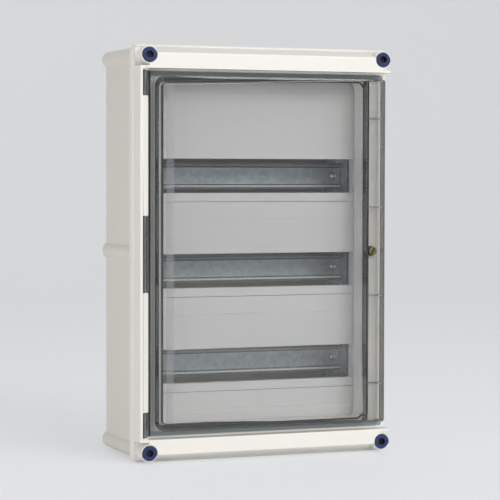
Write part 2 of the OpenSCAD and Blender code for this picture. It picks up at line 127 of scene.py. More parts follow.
studioValues = {
    "floorColour": "#f1f2f3",
    "floorRoughness": 0.6,
    "floorShine": 0.25,
    "paperGlow": "#eceef1",    # what the camera adds to the paper, so that it looks pale
    "glowShare": 0.55,
    "skyColour": "#e2e5e9",
    "worldLight": 0.31,
    "lampFloor": (1.45, 0.85),  # metres from the low fill where the paper turns to plain glow
    "paperFront": 9.0,         # metres of flat paper in front of the object and behind it
    "paperBack": 3.0,
    "paperBend": 2.0,
    "bendStep": 6,             # degrees
    "paperWide": 12.0,
    "paperHigh": 7.0,
    # name: place, aimed at, size in metres, watts, shows in reflections
    "lamps": {
        "frontBox": ((1.6, -4.3, 2.95), (0.0, 0.0, 0.27), (3.2, 2.2), 118, True),
        "leftBox": ((-2.8, -1.2, 0.22), (-0.1, 0.0, 0.04), (1.6, 0.6), 29, True),
        "topBox": ((0.2, -0.4, 3.0), (0.0, 0.0, 0.3), (2.2, 1.2), 14, True),
        "lowFill": ((0.6, -1.7, 0.16), (0.0, 0.0, 0.05), (1.4, 0.3), 5.5, False),
    },
}


def makeLamp(name, place, aim, size, watts, shows):
    data = bpy.data.lights.new(name, "AREA")
    data.shape = "RECTANGLE"
    data.size, data.size_y = size
    data.energy = watts
    lamp = bpy.data.objects.new(name, data)
    lamp.location = place
    lamp.rotation_euler = (Vector(aim) - Vector(place)).to_track_quat("-Z", "Y").to_euler()
    lamp.visible_glossy = lamp.visible_transmission = shows
    scene.collection.objects.link(lamp)


def seenRays(tree):
    # the light path, and 1 for rays that look straight, by a mirror or through the sheet
    path = put(tree, "ShaderNodeLightPath")
    direct = maths(tree, "MAXIMUM", path.outputs["Is Camera Ray"], path.outputs["Is Glossy Ray"])
    return path, maths(tree, "MAXIMUM", direct, path.outputs["Is Transmission Ray"])


def makeWorld(values):
    world = bpy.data.worlds.new("studioWorld")
    world.use_nodes = True
    scene.world = world
    tree = world.node_tree
    tree.nodes.clear()
    light = put(tree, "ShaderNodeBackground",
                {"Color": hexColour("#ffffff"), "Strength": values["worldLight"]})
    sky = put(tree, "ShaderNodeBackground", {"Color": hexColour(values["skyColour"])})
    mix = put(tree, "ShaderNodeMixShader",
              {"Fac": seenRays(tree)[1], 1: light.outputs[0], 2: sky.outputs[0]})
    put(tree, "ShaderNodeOutputWorld", {"Surface": mix.outputs[0]})


def makePaperSheet(values):
    # flat under the object and curved up at both ends
    bend, wide, high = (values[key] for key in ("paperBend", "paperWide", "paperHigh"))
    front, back = values["paperFront"], values["paperBack"]
    curve = [(bend * math.sin(a), bend - bend * math.cos(a))
             for a in map(math.radians, range(0, 91, values["bendStep"]))]
    profile = [(-front - bend, high)]
    profile += [(-front - out, rise) for out, rise in curve[::-1]]
    profile += [(back + out, rise) for out, rise in curve]
    profile += [(back + bend, high)]
    work = bmesh.new()
    rows = [[work.verts.new((x, y, z)) for x in (-wide, wide)] for y, z in profile]
    for a, b in zip(rows, rows[1:]):
        work.faces.new((a[0], a[1], b[1], b[0]))
    mesh = bpy.data.meshes.new("studioFloor")
    work.to_mesh(mesh)
    work.free()
    mesh.polygons.foreach_set("use_smooth", [True] * len(mesh.polygons))
    return mesh


def makePaper(values):
    material, tree, shader = startMaterial("studioPaper")
    feed(tree, shader.inputs["Base Color"], hexColour(values["floorColour"]))
    feed(tree, shader.inputs["Roughness"], values["floorRoughness"])
    feed(tree, shader.inputs["Specular IOR Level"], values["floorShine"])
    glow = put(tree, "ShaderNodeEmission", {"Color": hexColour(values["paperGlow"])})
    path, seen = seenRays(tree)
    share = maths(tree, "MULTIPLY", seen, values["glowShare"])
    # the floor close to the low fill would look burnt out from behind the object
    where = put(tree, "ShaderNodeTexCoord")
    away = put(tree, "ShaderNodeVectorMath",
               {0: where.outputs["Object"], 1: values["lamps"]["lowFill"][0]},
               operation="DISTANCE")
    fade = put(tree, "ShaderNodeMapRange",
               {"Value": away.outputs["Value"], "From Min": values["lampFloor"][0],
                "From Max": values["lampFloor"][1]})
    plain = maths(tree, "MULTIPLY", fade.outputs["Result"], path.outputs["Is Camera Ray"])
    blend = put(tree, "ShaderNodeMixShader",
                {"Fac": maths(tree, "MAXIMUM", share, plain),
                 1: shader.outputs["BSDF"], 2: glow.outputs["Emission"]})
    feed(tree, tree.nodes["Material Output"].inputs["Surface"], blend.outputs["Shader"])
    return material


def makeStudio(values):
    for name, setting in values["lamps"].items():
        makeLamp(name, *setting)
    makeWorld(values)
    floor = bpy.data.objects.new("studioFloor", makePaperSheet(values))
    scene.collection.objects.link(floor)
    floor.data.materials.append(makePaper(values))


makeStudio(studioValues)
print("studio made")


def newGroup(name, ins, outs):
    group = bpy.data.node_groups.new(name, "ShaderNodeTree")
    for label, kind, value in ins:
        item = group.interface.new_socket(label, in_out="INPUT", socket_type=kind)
        item.default_value = value
    for label, kind in outs:
        group.interface.new_socket(label, in_out="OUTPUT", socket_type=kind)
    return group, group.nodes.new("NodeGroupInput"), group.nodes.new("NodeGroupOutput")


skinNoises = {
    # scale per metre, detail, roughness
    "cloud": (9.0, 4.0, 0.5),      # slow drift of shade
    "smudge": (34.0, 6.0, 0.7),    # handling dullness
    "peel": (90.0, 2.0, 0.5),      # shallow waves of a moulded face
    "ripple": (14.0, 1.0, 0.5),    # waves in the clear sheet
}
skinDetails = {"pimple": 1.0, "streak": 3.0}
plasticIor = 1.5


def noiseAt(tree, vector, scale, detail, roughness=0.5):
    return put(tree, "ShaderNodeTexNoise",
               {"Vector": vector, "Scale": scale, "Detail": detail, "Roughness": roughness},
               ).outputs["Fac"]


def scaled(tree, colour, level):
    return put(tree, "ShaderNodeVectorMath", {0: colour, "Scale": level},
               operation="SCALE").outputs["Vector"]


def makeMouldedSkin():
    # eroded-steel texture of a moulded face: pimples, slow shade drift, handling dullness
    group, ins, outs = newGroup("mouldedSkin", [
        ("Colour", "NodeSocketColor", (0.8, 0.8, 0.8, 1)),
        ("Drift", "NodeSocketFloat", 0.03),
        ("Roughness", "NodeSocketFloat", 0.45),
        ("Rough Spread", "NodeSocketFloat", 0.06),
        ("Pimple Size", "NodeSocketFloat", 0.0007),
        ("Orange Peel", "NodeSocketFloat", 0.35),
    ], [("Colour", "NodeSocketColor"), ("Roughness", "NodeSocketFloat"),
        ("Height", "NodeSocketFloat")])
    where = put(group, "ShaderNodeTexCoord").outputs["Object"]
    given = ins.outputs
    cloud = maths(group, "SUBTRACT", noiseAt(group, where, *skinNoises["cloud"]), 0.5)
    level = maths(group, "ADD", maths(group, "MULTIPLY", cloud, given["Drift"]), 1.0)
    feed(group, outs.inputs["Colour"], scaled(group, given["Colour"], level))

    smudge = maths(group, "SUBTRACT", noiseAt(group, where, *skinNoises["smudge"]), 0.5)
    spread = maths(group, "MULTIPLY_ADD", smudge, given["Rough Spread"], given["Roughness"])
    feed(group, outs.inputs["Roughness"], spread)

    perMetre = maths(group, "DIVIDE", 1.0, given["Pimple Size"])
    pimple = noiseAt(group, where, perMetre, skinDetails["pimple"])
    peel = noiseAt(group, where, *skinNoises["peel"])
    feed(group, outs.inputs["Height"],
         maths(group, "MULTIPLY_ADD", peel, given["Orange Peel"], pimple))
    return group


crystalDullness = 0.12      # how much rougher the dullest zinc crystal is than the brightest


def makeGalvanisedSkin():
    # zinc crystals of unequal brightness, with rolling streaks along one axis
    group, ins, outs = newGroup("galvanisedSkin", [
        ("Colour", "NodeSocketColor", (0.5, 0.53, 0.55, 1)),
        ("Spangle Size", "NodeSocketFloat", 0.006),
        ("Spangle", "NodeSocketFloat", 0.16),
        ("Roughness", "NodeSocketFloat", 0.34),
        ("Streak", "NodeSocketFloat", 0.10),
        ("Stretch", "NodeSocketVector", (6.0, 400.0, 400.0)),
    ], [("Colour", "NodeSocketColor"), ("Roughness", "NodeSocketFloat"),
        ("Height", "NodeSocketFloat")])
    where = put(group, "ShaderNodeTexCoord").outputs["Object"]
    given = ins.outputs
    perMetre = maths(group, "DIVIDE", 1.0, given["Spangle Size"])
    crystal = put(group, "ShaderNodeTexVoronoi", {"Vector": where, "Scale": perMetre},
                  feature="F1")
    facet = put(group, "ShaderNodeSeparateColor", {"Color": crystal.outputs["Color"]}).outputs
    stretched = put(group, "ShaderNodeVectorMath", {0: where, 1: given["Stretch"]},
                    operation="MULTIPLY").outputs["Vector"]
    streak = noiseAt(group, stretched, 1.0, skinDetails["streak"])
    facetSigned = maths(group, "SUBTRACT", facet["Red"], 0.5)
    level = maths(group, "MULTIPLY_ADD", facetSigned, given["Spangle"], 1.0)
    streakSigned = maths(group, "SUBTRACT", streak, 0.5)
    level = maths(group, "MULTIPLY_ADD", streakSigned, given["Streak"], level)
    feed(group, outs.inputs["Colour"], scaled(group, given["Colour"], level))
    feed(group, outs.inputs["Roughness"],
         maths(group, "MULTIPLY_ADD", facet["Green"], crystalDullness, given["Roughness"]))
    feed(group, outs.inputs["Height"], streak)
    return group


mouldedSkin = makeMouldedSkin()
galvanisedSkin = makeGalvanisedSkin()
print("shader groups made")


def addSkin(tree, shader, group, values, bumpStrength, bumpDepth):
    skin = put(tree, "ShaderNodeGroup", node_tree=group)
    for label, value in values.items():
        skin.inputs[label].default_value = value
    feed(tree, shader.inputs["Base Color"], skin.outputs["Colour"])
    feed(tree, shader.inputs["Roughness"], skin.outputs["Roughness"])
    bump = put(tree, "ShaderNodeBump", {"Strength": bumpStrength, "Distance": bumpDepth,
                                        "Height": skin.outputs["Height"]})
    feed(tree, shader.inputs["Normal"], bump.outputs["Normal"])


mouldings = {
    # colour, drift, roughness, spread, pimple size, orange peel, bump strength, bump depth
    "housingPlastic": ("#dfdbd2", 0.05, 0.52, 0.10, 0.0007, 0.5, 0.35, 0.00012),
    "coverPlastic": ("#ebe8e1", 0.03, 0.36, 0.10, 0.0006, 0.8, 0.16, 0.00010),
    "platePlastic": ("#dedede", 0.03, 0.42, 0.10, 0.0008, 0.6, 0.20, 0.00010),
    "bluePlastic": ("#1b2a5c", 0.10, 0.30, 0.12, 0.0006, 0.6, 0.22, 0.00010),
    "foamSeal": ("#3b3b3b", 0.25, 0.85, 0.10, 0.0011, 0.2, 0.9, 0.00050),
    "blackRubber": ("#121213", 0.20, 0.55, 0.15, 0.0009, 0.5, 0.4, 0.00015),
}


def makeMoulding(name, colour, drift, roughness, spread, pimple, peel, strength, depth):
    material, tree, shader = startMaterial(name)
    addSkin(tree, shader, mouldedSkin, {
        "Colour": hexColour(colour), "Drift": drift, "Roughness": roughness,
        "Rough Spread": spread, "Pimple Size": pimple, "Orange Peel": peel,
    }, strength, depth)
    shader.inputs["IOR"].default_value = plasticIor
    return material


metals = {
    # colour, spangle size, spangle, roughness, streak, stretch, bump strength, depth, metallic
    "railSteel": ("#b2bbbf", 0.0045, 0.24, 0.34, 0.16, (5, 500, 500), 0.06, 0.00002, 0.8),
    "uprightSteel": ("#c4ccd0", 0.0070, 0.34, 0.26, 0.10, (500, 500, 5), 0.06, 0.00002, 0.9),
    "zincScrew": ("#dde1e4", 0.0020, 0.06, 0.12, 0.10, (900, 900, 900), 0.15, 0.00004, 1.0),
    "pinSteel": ("#8e8f96", 0.0020, 0.04, 0.42, 0.10, (900, 900, 20), 0.15, 0.00004, 1.0),
    "lockBrass": ("#77754c", 0.0020, 0.14, 0.40, 0.20, (900, 900, 900), 0.25, 0.00005, 1.0),
    "turnedBrass": ("#5f5d42", 0.0020, 0.14, 0.40, 0.20, (900, 900, 900), 0.25, 0.00005, 1.0),
}


def makeMetal(name, colour, size, spangle, roughness, streak, stretch, strength, depth, metallic):
    material, tree, shader = startMaterial(name)
    addSkin(tree, shader, galvanisedSkin, {
        "Colour": hexColour(colour), "Spangle Size": size, "Spangle": spangle,
        "Roughness": roughness, "Streak": streak, "Stretch": stretch,
    }, strength, depth)
    shader.inputs["Metallic"].default_value = metallic
    return material


doorValues = {
    "tint": "#f6f6f5",
    "flangeShadeTint": "#bac6cd",  # painted shade on the flat rim around the raised window, where the bar above shades it and the gap behind it is dark
    "edgeTint": "#3d4347",    # side walls and edges of the sheet
    "beadTint": "#1e2022",    # painted shadow of the gap beside the hinge edge, and a dark line along the far wall
    "flangeSide": 0.3,        # how much of the rim's painted shade the hinge side shows
    "rimShare": 0.7,          # how much of the edge tint the grip rim's walls show
    "frostTint": "#a6a8ac",   # frosted band that frames the window
    "frostRoughness": 0.5,
    "frost": 0.19,            # share of the frost at each surface
    "frostEnds": 0.12,        # how much of it the band's top and bottom show
    "sheetWide": 0.0057,      # the rim's left edge, in from the door box's mirrored right edge
    "flangeLeft": 0.0093,     # rim's widths, and the band's place and width inside the window
    "flangeEnds": 0.0063,
    "trough": 0.0246,
    "bandIn": 0.0116,
    "band": 0.0105,
    "lineIn": 0.0012,         # dark line that the far wall shows: its place and width
    "line": 0.0013,
    "lineEnds": 0.003,        # how far it stops short of the window's top and bottom
    "bead": 0.0034,           # width of the painted shadow of the gap along the hinge edge
    "maskBlend": 0.0004,      # half the width over which a mask fades
    "facing": (0.55, 0.3),    # how squarely a face looks to the front or back, and its fade
    "rimIn": 0.002,           # where the grip rim starts, from the window's right edge
    "smoke": "#2c2d2e",       # what long paths through the sheet fade to
    "smokeDensity": 92.0,     # per metre
    "shadowTint": "#f4f4f4",
    "roughness": 0.02,
    "ior": 1.57,
    "ripple": 0.000004,
    "rippleStrength": 0.6,
}


def makeSheetZones(values):
    # masks of the door's zones at rest: flat rim with its painted shade, walls, painted shadow of
    # the gap beside the hinge edge with a dark line along the far wall, and the frosted band
    names = ("Window Left", "Window Right", "Window Low", "Window High", "Sheet Left",
             "Gap Shadow Right", "Band In", "Band Out", "Band Ends", "Side Share", "Rim Share",
             "Line In", "Line")
    masks = ("Flange", "Wall", "Dark Lines", "Band")
    group, ins, outs = newGroup("sheetZones", [(name, "NodeSocketFloat", 0.0) for name in names],
                                [(mask, "NodeSocketFloat") for mask in masks])
    given = ins.outputs

    def sum2(operation, a, b):
        return maths(group, operation, a, b)

    def rest(share):
        return sum2("SUBTRACT", 1.0, share)

    def above(value, limit, width=values["maskBlend"]):
        gap = sum2("SUBTRACT", value, limit)
        return put(group, "ShaderNodeMapRange",
                   {"From Min": -width, "From Max": width, "Value": gap},
                   interpolation_type="SMOOTHSTEP").outputs["Result"]

    where = put(group, "ShaderNodeTexCoord").outputs["Object"]
    at = put(group, "ShaderNodeSeparateXYZ", {0: where}).outputs
    normal = put(group, "ShaderNodeNewGeometry").outputs["Normal"]
    turned = put(group, "ShaderNodeVectorTransform", {0: normal}, vector_type="NORMAL",
                 convert_from="WORLD", convert_to="OBJECT")
    facing = put(group, "ShaderNodeSeparateXYZ", {0: turned.outputs[0]}).outputs
    face = above(maths(group, "ABSOLUTE", facing["Y"]), *values["facing"])
    fromLeft = sum2("SUBTRACT", at["X"], given["Window Left"])
    fromRight = sum2("SUBTRACT", given["Window Right"], at["X"])
    fromLow = sum2("SUBTRACT", at["Z"], given["Window Low"])
    fromHigh = sum2("SUBTRACT", given["Window High"], at["Z"])
    fromEnds = sum2("MINIMUM", fromLow, fromHigh)
    fromSides = sum2("MINIMUM", fromLeft, fromRight)

    # painted shade on the flat rim, and a share of it on the hinge side of the window
    sheet = above(at["X"], given["Sheet Left"])
    ends = rest(above(fromEnds, 0.0))
    side = sum2("MULTIPLY", rest(above(fromLeft, 0.0)), given["Side Share"])
    feed(group, outs.inputs["Flange"], sum2("MULTIPLY", sum2("MAXIMUM", ends, side), sheet))

    rimLeft = sum2("ADD", given["Window Right"], values["rimIn"])
    rim = sum2("MULTIPLY", above(at["X"], rimLeft), rest(given["Rim Share"]))
    shown = sum2("MULTIPLY", sheet, rest(rim))
    feed(group, outs.inputs["Wall"], sum2("MULTIPLY", rest(face), shown))

    # painted shadow of the gap along the hinge edge, and a dark line along the far wall
    bead = sum2("SUBTRACT", sheet, above(at["X"], given["Gap Shadow Right"]))
    lineOut = sum2("ADD", given["Line In"], given["Line"])
    line = sum2("SUBTRACT", above(fromRight, given["Line In"]), above(fromRight, lineOut))
    line = sum2("MULTIPLY", line, above(fromEnds, values["lineEnds"]))
    feed(group, outs.inputs["Dark Lines"], sum2("MAXIMUM", bead, line))

    bands = []
    for across, along in ((fromSides, fromEnds), (fromEnds, fromSides)):
        band = sum2("SUBTRACT", above(across, given["Band In"]), above(across, given["Band Out"]))
        bands.append(sum2("MULTIPLY", band, above(along, given["Band In"])))
    ring = sum2("MAXIMUM", bands[0], sum2("MULTIPLY", bands[1], given["Band Ends"]))
    feed(group, outs.inputs["Band"], sum2("MULTIPLY", ring, face))
    return group


def makeClearSheet(values):
    material, tree, shader = startMaterial("clearSheet")
    low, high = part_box("door")
    sheetLeft = -high[0] + values["sheetWide"]
    zones = put(tree, "ShaderNodeGroup", node_tree=makeSheetZones(values))
    for label, value in (
            ("Window Left", sheetLeft + values["flangeLeft"]),
            ("Window Right", high[0] - values["trough"]),
            ("Window Low", low[2] + values["flangeEnds"]),
            ("Window High", high[2] - values["flangeEnds"]),
            ("Sheet Left", sheetLeft), ("Gap Shadow Right", sheetLeft + values["bead"]),
            ("Band In", values["bandIn"]), ("Band Out", values["bandIn"] + values["band"]),
            ("Band Ends", values["frostEnds"]), ("Side Share", values["flangeSide"]),
            ("Rim Share", values["rimShare"]), ("Line In", values["lineIn"]),
            ("Line", values["line"])):
        zones.inputs[label].default_value = value
    colour = hexColour(values["tint"])
    # the rim's painted shade, the darker walls, then the painted gap shadow and the far wall's
    # dark line
    for mask, key in (("Flange", "flangeShadeTint"), ("Wall", "edgeTint"), ("Dark Lines", "beadTint")):
        colour = mixColour(tree, zones.outputs[mask], colour, hexColour(values[key]))
    feed(tree, shader.inputs["Base Color"], colour)
    where = put(tree, "ShaderNodeTexCoord").outputs["Object"]
    bump = put(tree, "ShaderNodeBump",
               {"Strength": values["rippleStrength"], "Distance": values["ripple"],
                "Height": noiseAt(tree, where, *skinNoises["ripple"])})
    feed(tree, shader.inputs["Normal"], bump.outputs["Normal"])
    shader.inputs["Transmission Weight"].default_value = 1.0
    shader.inputs["Roughness"].default_value = values["roughness"]
    shader.inputs["IOR"].default_value = values["ior"]

    frost = put(tree, "ShaderNodeBsdfPrincipled",
                {"Base Color": hexColour(values["frostTint"]),
                 "Roughness": values["frostRoughness"]})
    frostShare = maths(tree, "MULTIPLY", zones.outputs["Band"], values["frost"])
    frosted = put(tree, "ShaderNodeMixShader",
                  {"Fac": frostShare, 1: shader.outputs["BSDF"], 2: frost.outputs["BSDF"]})
    through = put(tree, "ShaderNodeBsdfTransparent", {"Color": hexColour(values["shadowTint"])})
    path = put(tree, "ShaderNodeLightPath")
    mix = put(tree, "ShaderNodeMixShader",
              {"Fac": path.outputs["Is Shadow Ray"], 1: frosted.outputs["Shader"],
               2: through.outputs["BSDF"]})
    smoke = put(tree, "ShaderNodeVolumeAbsorption",
                {"Color": hexColour(values["smoke"]), "Density": values["smokeDensity"]})
    out = tree.nodes["Material Output"]
    feed(tree, out.inputs["Surface"], mix.outputs["Shader"])
    feed(tree, out.inputs["Volume"], smoke.outputs["Volume"])
    return material


materials = {name: makeMoulding(name, *values) for name, values in mouldings.items()}
materials.update({name: makeMetal(name, *values) for name, values in metals.items()})
materials["clearSheet"] = makeClearSheet(doorValues)


def makeRecessShade():
    # painted shade: recesses cut into a face that looks to -y are darker than the face
    group, ins, outs = newGroup("recessShade", [
        ("Colour", "NodeSocketColor", (0.8, 0.8, 0.8, 1)),
        ("Deep Colour", "NodeSocketColor", (0.1, 0.1, 0.1, 1)),
        ("Face", "NodeSocketFloat", -0.08), ("Depth", "NodeSocketFloat", 0.001),
    ], [("Colour", "NodeSocketColor")])
    given = ins.outputs
    where = put(group, "ShaderNodeTexCoord").outputs["Object"]
    at = put(group, "ShaderNodeSeparateXYZ", {0: where})
    behind = maths(group, "SUBTRACT", at.outputs["Y"], given["Face"])
    share = maths(group, "DIVIDE", behind, given["Depth"], use_clamp=True)
    colour = mixColour(group, share, given["Colour"], given["Deep Colour"])
    feed(group, outs.inputs["Colour"], colour)
    return group


recessShade = makeRecessShade()
recessStart = 0.0003        # metres behind the front face where the shade starts
recesses = {
    # material: node whose front face counts, painted shade colour in the recess, depth at which
    # it is full
    "bluePlastic": ("cover_screw_top_left", "#04050f", 0.0012),
    "lockBrass": ("lock_screw", "#15140c", 0.0008),
}


def shadeRecess(materialName, node, colour, depth):
    tree = materials[materialName].node_tree
    base = tree.nodes["Principled BSDF"].inputs["Base Color"]
    shade = put(tree, "ShaderNodeGroup", node_tree=recessShade)
    for label, value in (("Deep Colour", hexColour(colour)), ("Depth", depth),
                         ("Face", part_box(node)[0][1] + recessStart),
                         ("Colour", base.links[0].from_socket)):
        feed(tree, shade.inputs[label], value)
    feed(tree, base, shade.outputs["Colour"])


for name, values in recesses.items():
    shadeRecess(name, *values)

railZones = {
    "middle": 0.1205,          # height of the lowest rail's middle, and the rows' pitch
    "pitch": 0.125,
    "channel": 0.0125,         # half the channel's width
    "bend": 0.0023,            # width of the bends, which get a painted highlight
    "lowShare": 1.0,           # how bright the painted highlight on the lower and the upper bend is
    "highShare": 0.3,
    "crease": 0.0016,          # width of the line of painted shade beside them in the channel
    "creaseShare": 0.75,
    # painted highlight colour of the bends, and painted shade colour of the lips
    "bendHighlightColour": "#f1f3f4",
    "lipShadeColour": "#4d5455",
    "lipShare": 0.7,
}


def zoneRails(values):
    # painted light: the lips are darker than the web as painted shade, the bends lighter as a
    # painted highlight with less metal, and a line of painted shade runs beside them in the
    # channel
    tree = materials["railSteel"].node_tree
    shader = tree.nodes["Principled BSDF"]

    def sum2(operation, a, b):
        return maths(tree, operation, a, b)

    where = put(tree, "ShaderNodeTexCoord").outputs["Object"]
    height = put(tree, "ShaderNodeSeparateXYZ", {0: where}).outputs["Z"]
    pitch, channel = values["pitch"], values["channel"]
    lifted = sum2("SUBTRACT", height, values["middle"] - 0.5 * pitch)
    local = sum2("SUBTRACT", sum2("MODULO", lifted, pitch), 0.5 * pitch)
    away = maths(tree, "ABSOLUTE", local)
    lip = sum2("GREATER_THAN", away, channel)
    bend = sum2("MULTIPLY", lip, sum2("LESS_THAN", away, channel + values["bend"]))
    near = sum2("GREATER_THAN", away, channel - values["crease"])
    crease = sum2("MULTIPLY", sum2("SUBTRACT", near, lip), values["creaseShare"])
    gain = sum2("MULTIPLY", sum2("LESS_THAN", local, 0.0),
                values["lowShare"] - values["highShare"])
    bright = sum2("MULTIPLY", bend, sum2("ADD", values["highShare"], gain))
    colour = shader.inputs["Base Color"].links[0].from_socket
    for mask, key in ((sum2("MULTIPLY", lip, values["lipShare"]), "lipShadeColour"),
                      (crease, "lipShadeColour"), (bright, "bendHighlightColour")):
        colour = mixColour(tree, mask, colour, hexColour(values[key]))
    feed(tree, shader.inputs["Base Color"], colour)
    metallic = shader.inputs["Metallic"].default_value
    feed(tree, shader.inputs["Metallic"],
         sum2("MULTIPLY", metallic, sum2("SUBTRACT", 1.0, bright)))


zoneRails(railZones)
print("materials made:", len(materials))

bodyOf = {name: body for body, names in frame["record"]["behaviour"]["bodies"].items()
          for name in names}

dressing = {
    # node: material, slot, edge radii in metres, the widest first
    "base_box": ("housingPlastic", "housing_grey", 0.0006),
    "column_inserts": ("turnedBrass", "brass", 0.0002),
    "cover_gasket": ("foamSeal", "foam_seal", 0.0003),
    "cover_frame": ("coverPlastic", "cover_grey", 0.0006),
    "cover_screw_top_left": ("bluePlastic", "blue_plastic", 0.0003),
    "cover_screw_top_right": ("bluePlastic", "blue_plastic", 0.0003),
    "cover_screw_bottom_left": ("bluePlastic", "blue_plastic", 0.0003),
    "cover_screw_bottom_right": ("bluePlastic", "blue_plastic", 0.0003),
    "door_gasket": ("blackRubber", "black_rubber", 0.0004),
    "door": ("clearSheet", "clear_door", 0.0005),
    "hinge_pin_top": ("pinSteel", "pin_steel", 0.0003),
    "hinge_pin_middle": ("pinSteel", "pin_steel", 0.0003),
    "hinge_pin_bottom": ("pinSteel", "pin_steel", 0.0003),
    "lock_screw": ("lockBrass", "brass", 0.0002),
    "lock_clip": ("pinSteel", "pin_steel", 0.0001),
    "lock_keeper": ("turnedBrass", "brass", 0.0002),
    "cover_plate_top": ("platePlastic", "plate_grey", 0.0005),
    "cover_plate_middle": ("platePlastic", "plate_grey", 0.0005),
    "cover_plate_bottom": ("platePlastic", "plate_grey", 0.0005),
    "cover_plate_foot": ("platePlastic", "plate_grey", 0.0005),
    "din_rail_top": ("railSteel", "galvanised_steel", 0.0015, 0.0003),
    "din_rail_middle": ("railSteel", "galvanised_steel", 0.0015, 0.0003),
    "din_rail_bottom": ("railSteel", "galvanised_steel", 0.0015, 0.0003),
    "upright_left": ("uprightSteel", "galvanised_steel", 0.0016, 0.0004),
    "upright_right": ("uprightSteel", "galvanised_steel", 0.0016, 0.0004),
}

rounding = {
    "weld": 2e-6,              # metres within which corners are one
    "flat": 0.4,               # degrees between faces that are merged
    "sharpest": 40,            # degrees from which an edge is rounded
    "shortest": 1e-6,
    "room": 2.4,               # radii that the faces beside a rounded edge must run
    "attempts": 24,
    "astray": 1.35,            # radii from its edge at which a new corner has gone astray
    "segments": 2,
    "smoothBelow": 32,         # degrees
    "flatWeight": 50,
}
softEdges = {
    # node: how far the edge lies from the node's left side and from its front, radius
    "cover_frame": (0.0155, 0.003, 0.0030),
}
softReach = 0.0002             # metres within which an edge counts as that edge
hair = 1e-6                    # metres


def weldedCopy(name):
    # the solid's triangles merged into a closed mesh with flat faces in one piece
    work = bmesh.new()
    work.from_mesh(nodes[name].data)
    bmesh.ops.remove_doubles(work, verts=work.verts, dist=rounding["weld"])
    bmesh.ops.dissolve_limit(work, angle_limit=math.radians(rounding["flat"]), verts=work.verts,
                             edges=work.edges, delimit=set())
    wide = [f for f in work.faces if len(f.verts) > 4]
    bmesh.ops.triangulate(work, faces=wide, quad_method="BEAUTY", ngon_method="BEAUTY")
    return work


def reachFromEdge(face, edge):
    # how far a face runs away from one of its edges
    a, b = (v.co for v in edge.verts)
    along = (b - a).normalized()
    return max(((v.co - a) - along * (v.co - a).dot(along)).length for v in face.verts)


def worthRounding(edge, radius):
    if len(edge.link_faces) != 2 or edge.calc_length() < rounding["shortest"]:
        return False
    if edge.calc_face_angle(0) < math.radians(rounding["sharpest"]):
        return False
    room = rounding["room"] * radius
    return all(reachFromEdge(face, edge) > room for face in edge.link_faces)


def edgeTree(edges):
    # each edge as a hair-thin triangle, for finding the nearest one
    points, faces = [], []
    for edge in edges:
        a, b = (v.co.copy() for v in edge.verts)
        side = (b - a).orthogonal().normalized() * hair
        faces.append((len(points), len(points) + 1, len(points) + 2))
        points += [a, b, (a + b) / 2 + side]
    return BVHTree.FromPolygons(points, faces)


def edgesAt(work, x, y):
    return {e.index for e in work.edges
            if all(abs(v.co.x - x) < softReach and abs(v.co.y - y) < softReach for v in e.verts)}


def roundEdges(source, radius, at=None):
    # moulded and pressed edges are never knife sharp; one that would fold over stays plain
    source.verts.index_update()
    source.edges.index_update()
    source.edges.ensure_lookup_table()
    if at:
        chosen = edgesAt(source, *at)
    else:
        chosen = {e.index for e in source.edges if worthRounding(e, radius)}
    for _ in range(rounding["attempts"]):
        work = source.copy()
        work.edges.ensure_lookup_table()
        order = sorted(chosen)
        edges = [work.edges[i] for i in order]
        tree = edgeTree(edges)
        made = bmesh.ops.bevel(work, geom=edges, offset=radius, offset_type="OFFSET",
                               segments=rounding["segments"], profile=0.5, affect="EDGES",
                               clamp_overlap=False, loop_slide=False)
        limit = rounding["astray"] * radius
        stray = {v for v in made["verts"] if tree.find_nearest(v.co)[3] > limit}
        if not stray:
            return work, len(chosen)
        dropped = set()
        for v in stray:
            near = [e.other_vert(v) for e in v.link_edges]
            for w in [n for n in near if n not in stray] or [v]:
                culprit = source.edges[order[tree.find_nearest(w.co)[2]]]
                root = min(culprit.verts, key=lambda end: (end.co - w.co).length)
                held = [e for e in root.link_edges if e.index in chosen]
                dropped.add(min(held, key=lambda e: e.calc_length()).index)
        work.free()
        chosen -= dropped
    return source.copy(), 0


def handOver(piece, name, slotName):
    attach(piece, bodyOf[name])
    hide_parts(name)
    return piece


def smoothMesh(mesh, degrees):
    mesh.polygons.foreach_set("use_smooth", [True] * len(mesh.polygons))
    mesh.set_sharp_from_angle(angle=math.radians(degrees))


def dress(name, materialName, slotName, *radii):
    work = weldedCopy(name)
    jobs = [(radius, None) for radius in radii]
    if name in softEdges:
        inX, inY, soft = softEdges[name]
        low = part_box(name)[0]
        jobs.insert(0, (soft, (low[0] + inX, low[1] + inY)))
    counts = []
    for radius, at in jobs:
        rounded, count = roundEdges(work, radius, at)
        work.free()
        work = rounded
        counts.append(count)
    mesh = bpy.data.meshes.new(name + "Skin")
    work.to_mesh(mesh)
    work.free()
    print(name, "rounded edges:", counts, "faces:", len(mesh.polygons))
    mesh.materials.append(materials[materialName])
    smoothMesh(mesh, rounding["smoothBelow"])
    piece = bpy.data.objects.new(name + "Piece", mesh)
    scene.collection.objects.link(piece)
    flats = piece.modifiers.new("flatFaces", "WEIGHTED_NORMAL")
    flats.weight = rounding["flatWeight"]
    flats.keep_sharp = True
    return handOver(piece, name, slotName)


screwShape = {
    # rings of the dome: height from and to, radius from and to, as shares of the head's
    "rings": ((0.0, 0.42, 1.0, 0.985), (0.42, 0.72, 0.985, 0.88),
              (0.72, 0.9, 0.88, 0.68), (0.9, 1.0, 0.68, 0.0)),
    "headSides": 32,
    "shankSides": 24,
    "armTall": 1.5,            # height of the cross's cutter and of its middle, in head heights
    "armMiddle": 1.1,
    "smoothBelow": 40,         # degrees
}


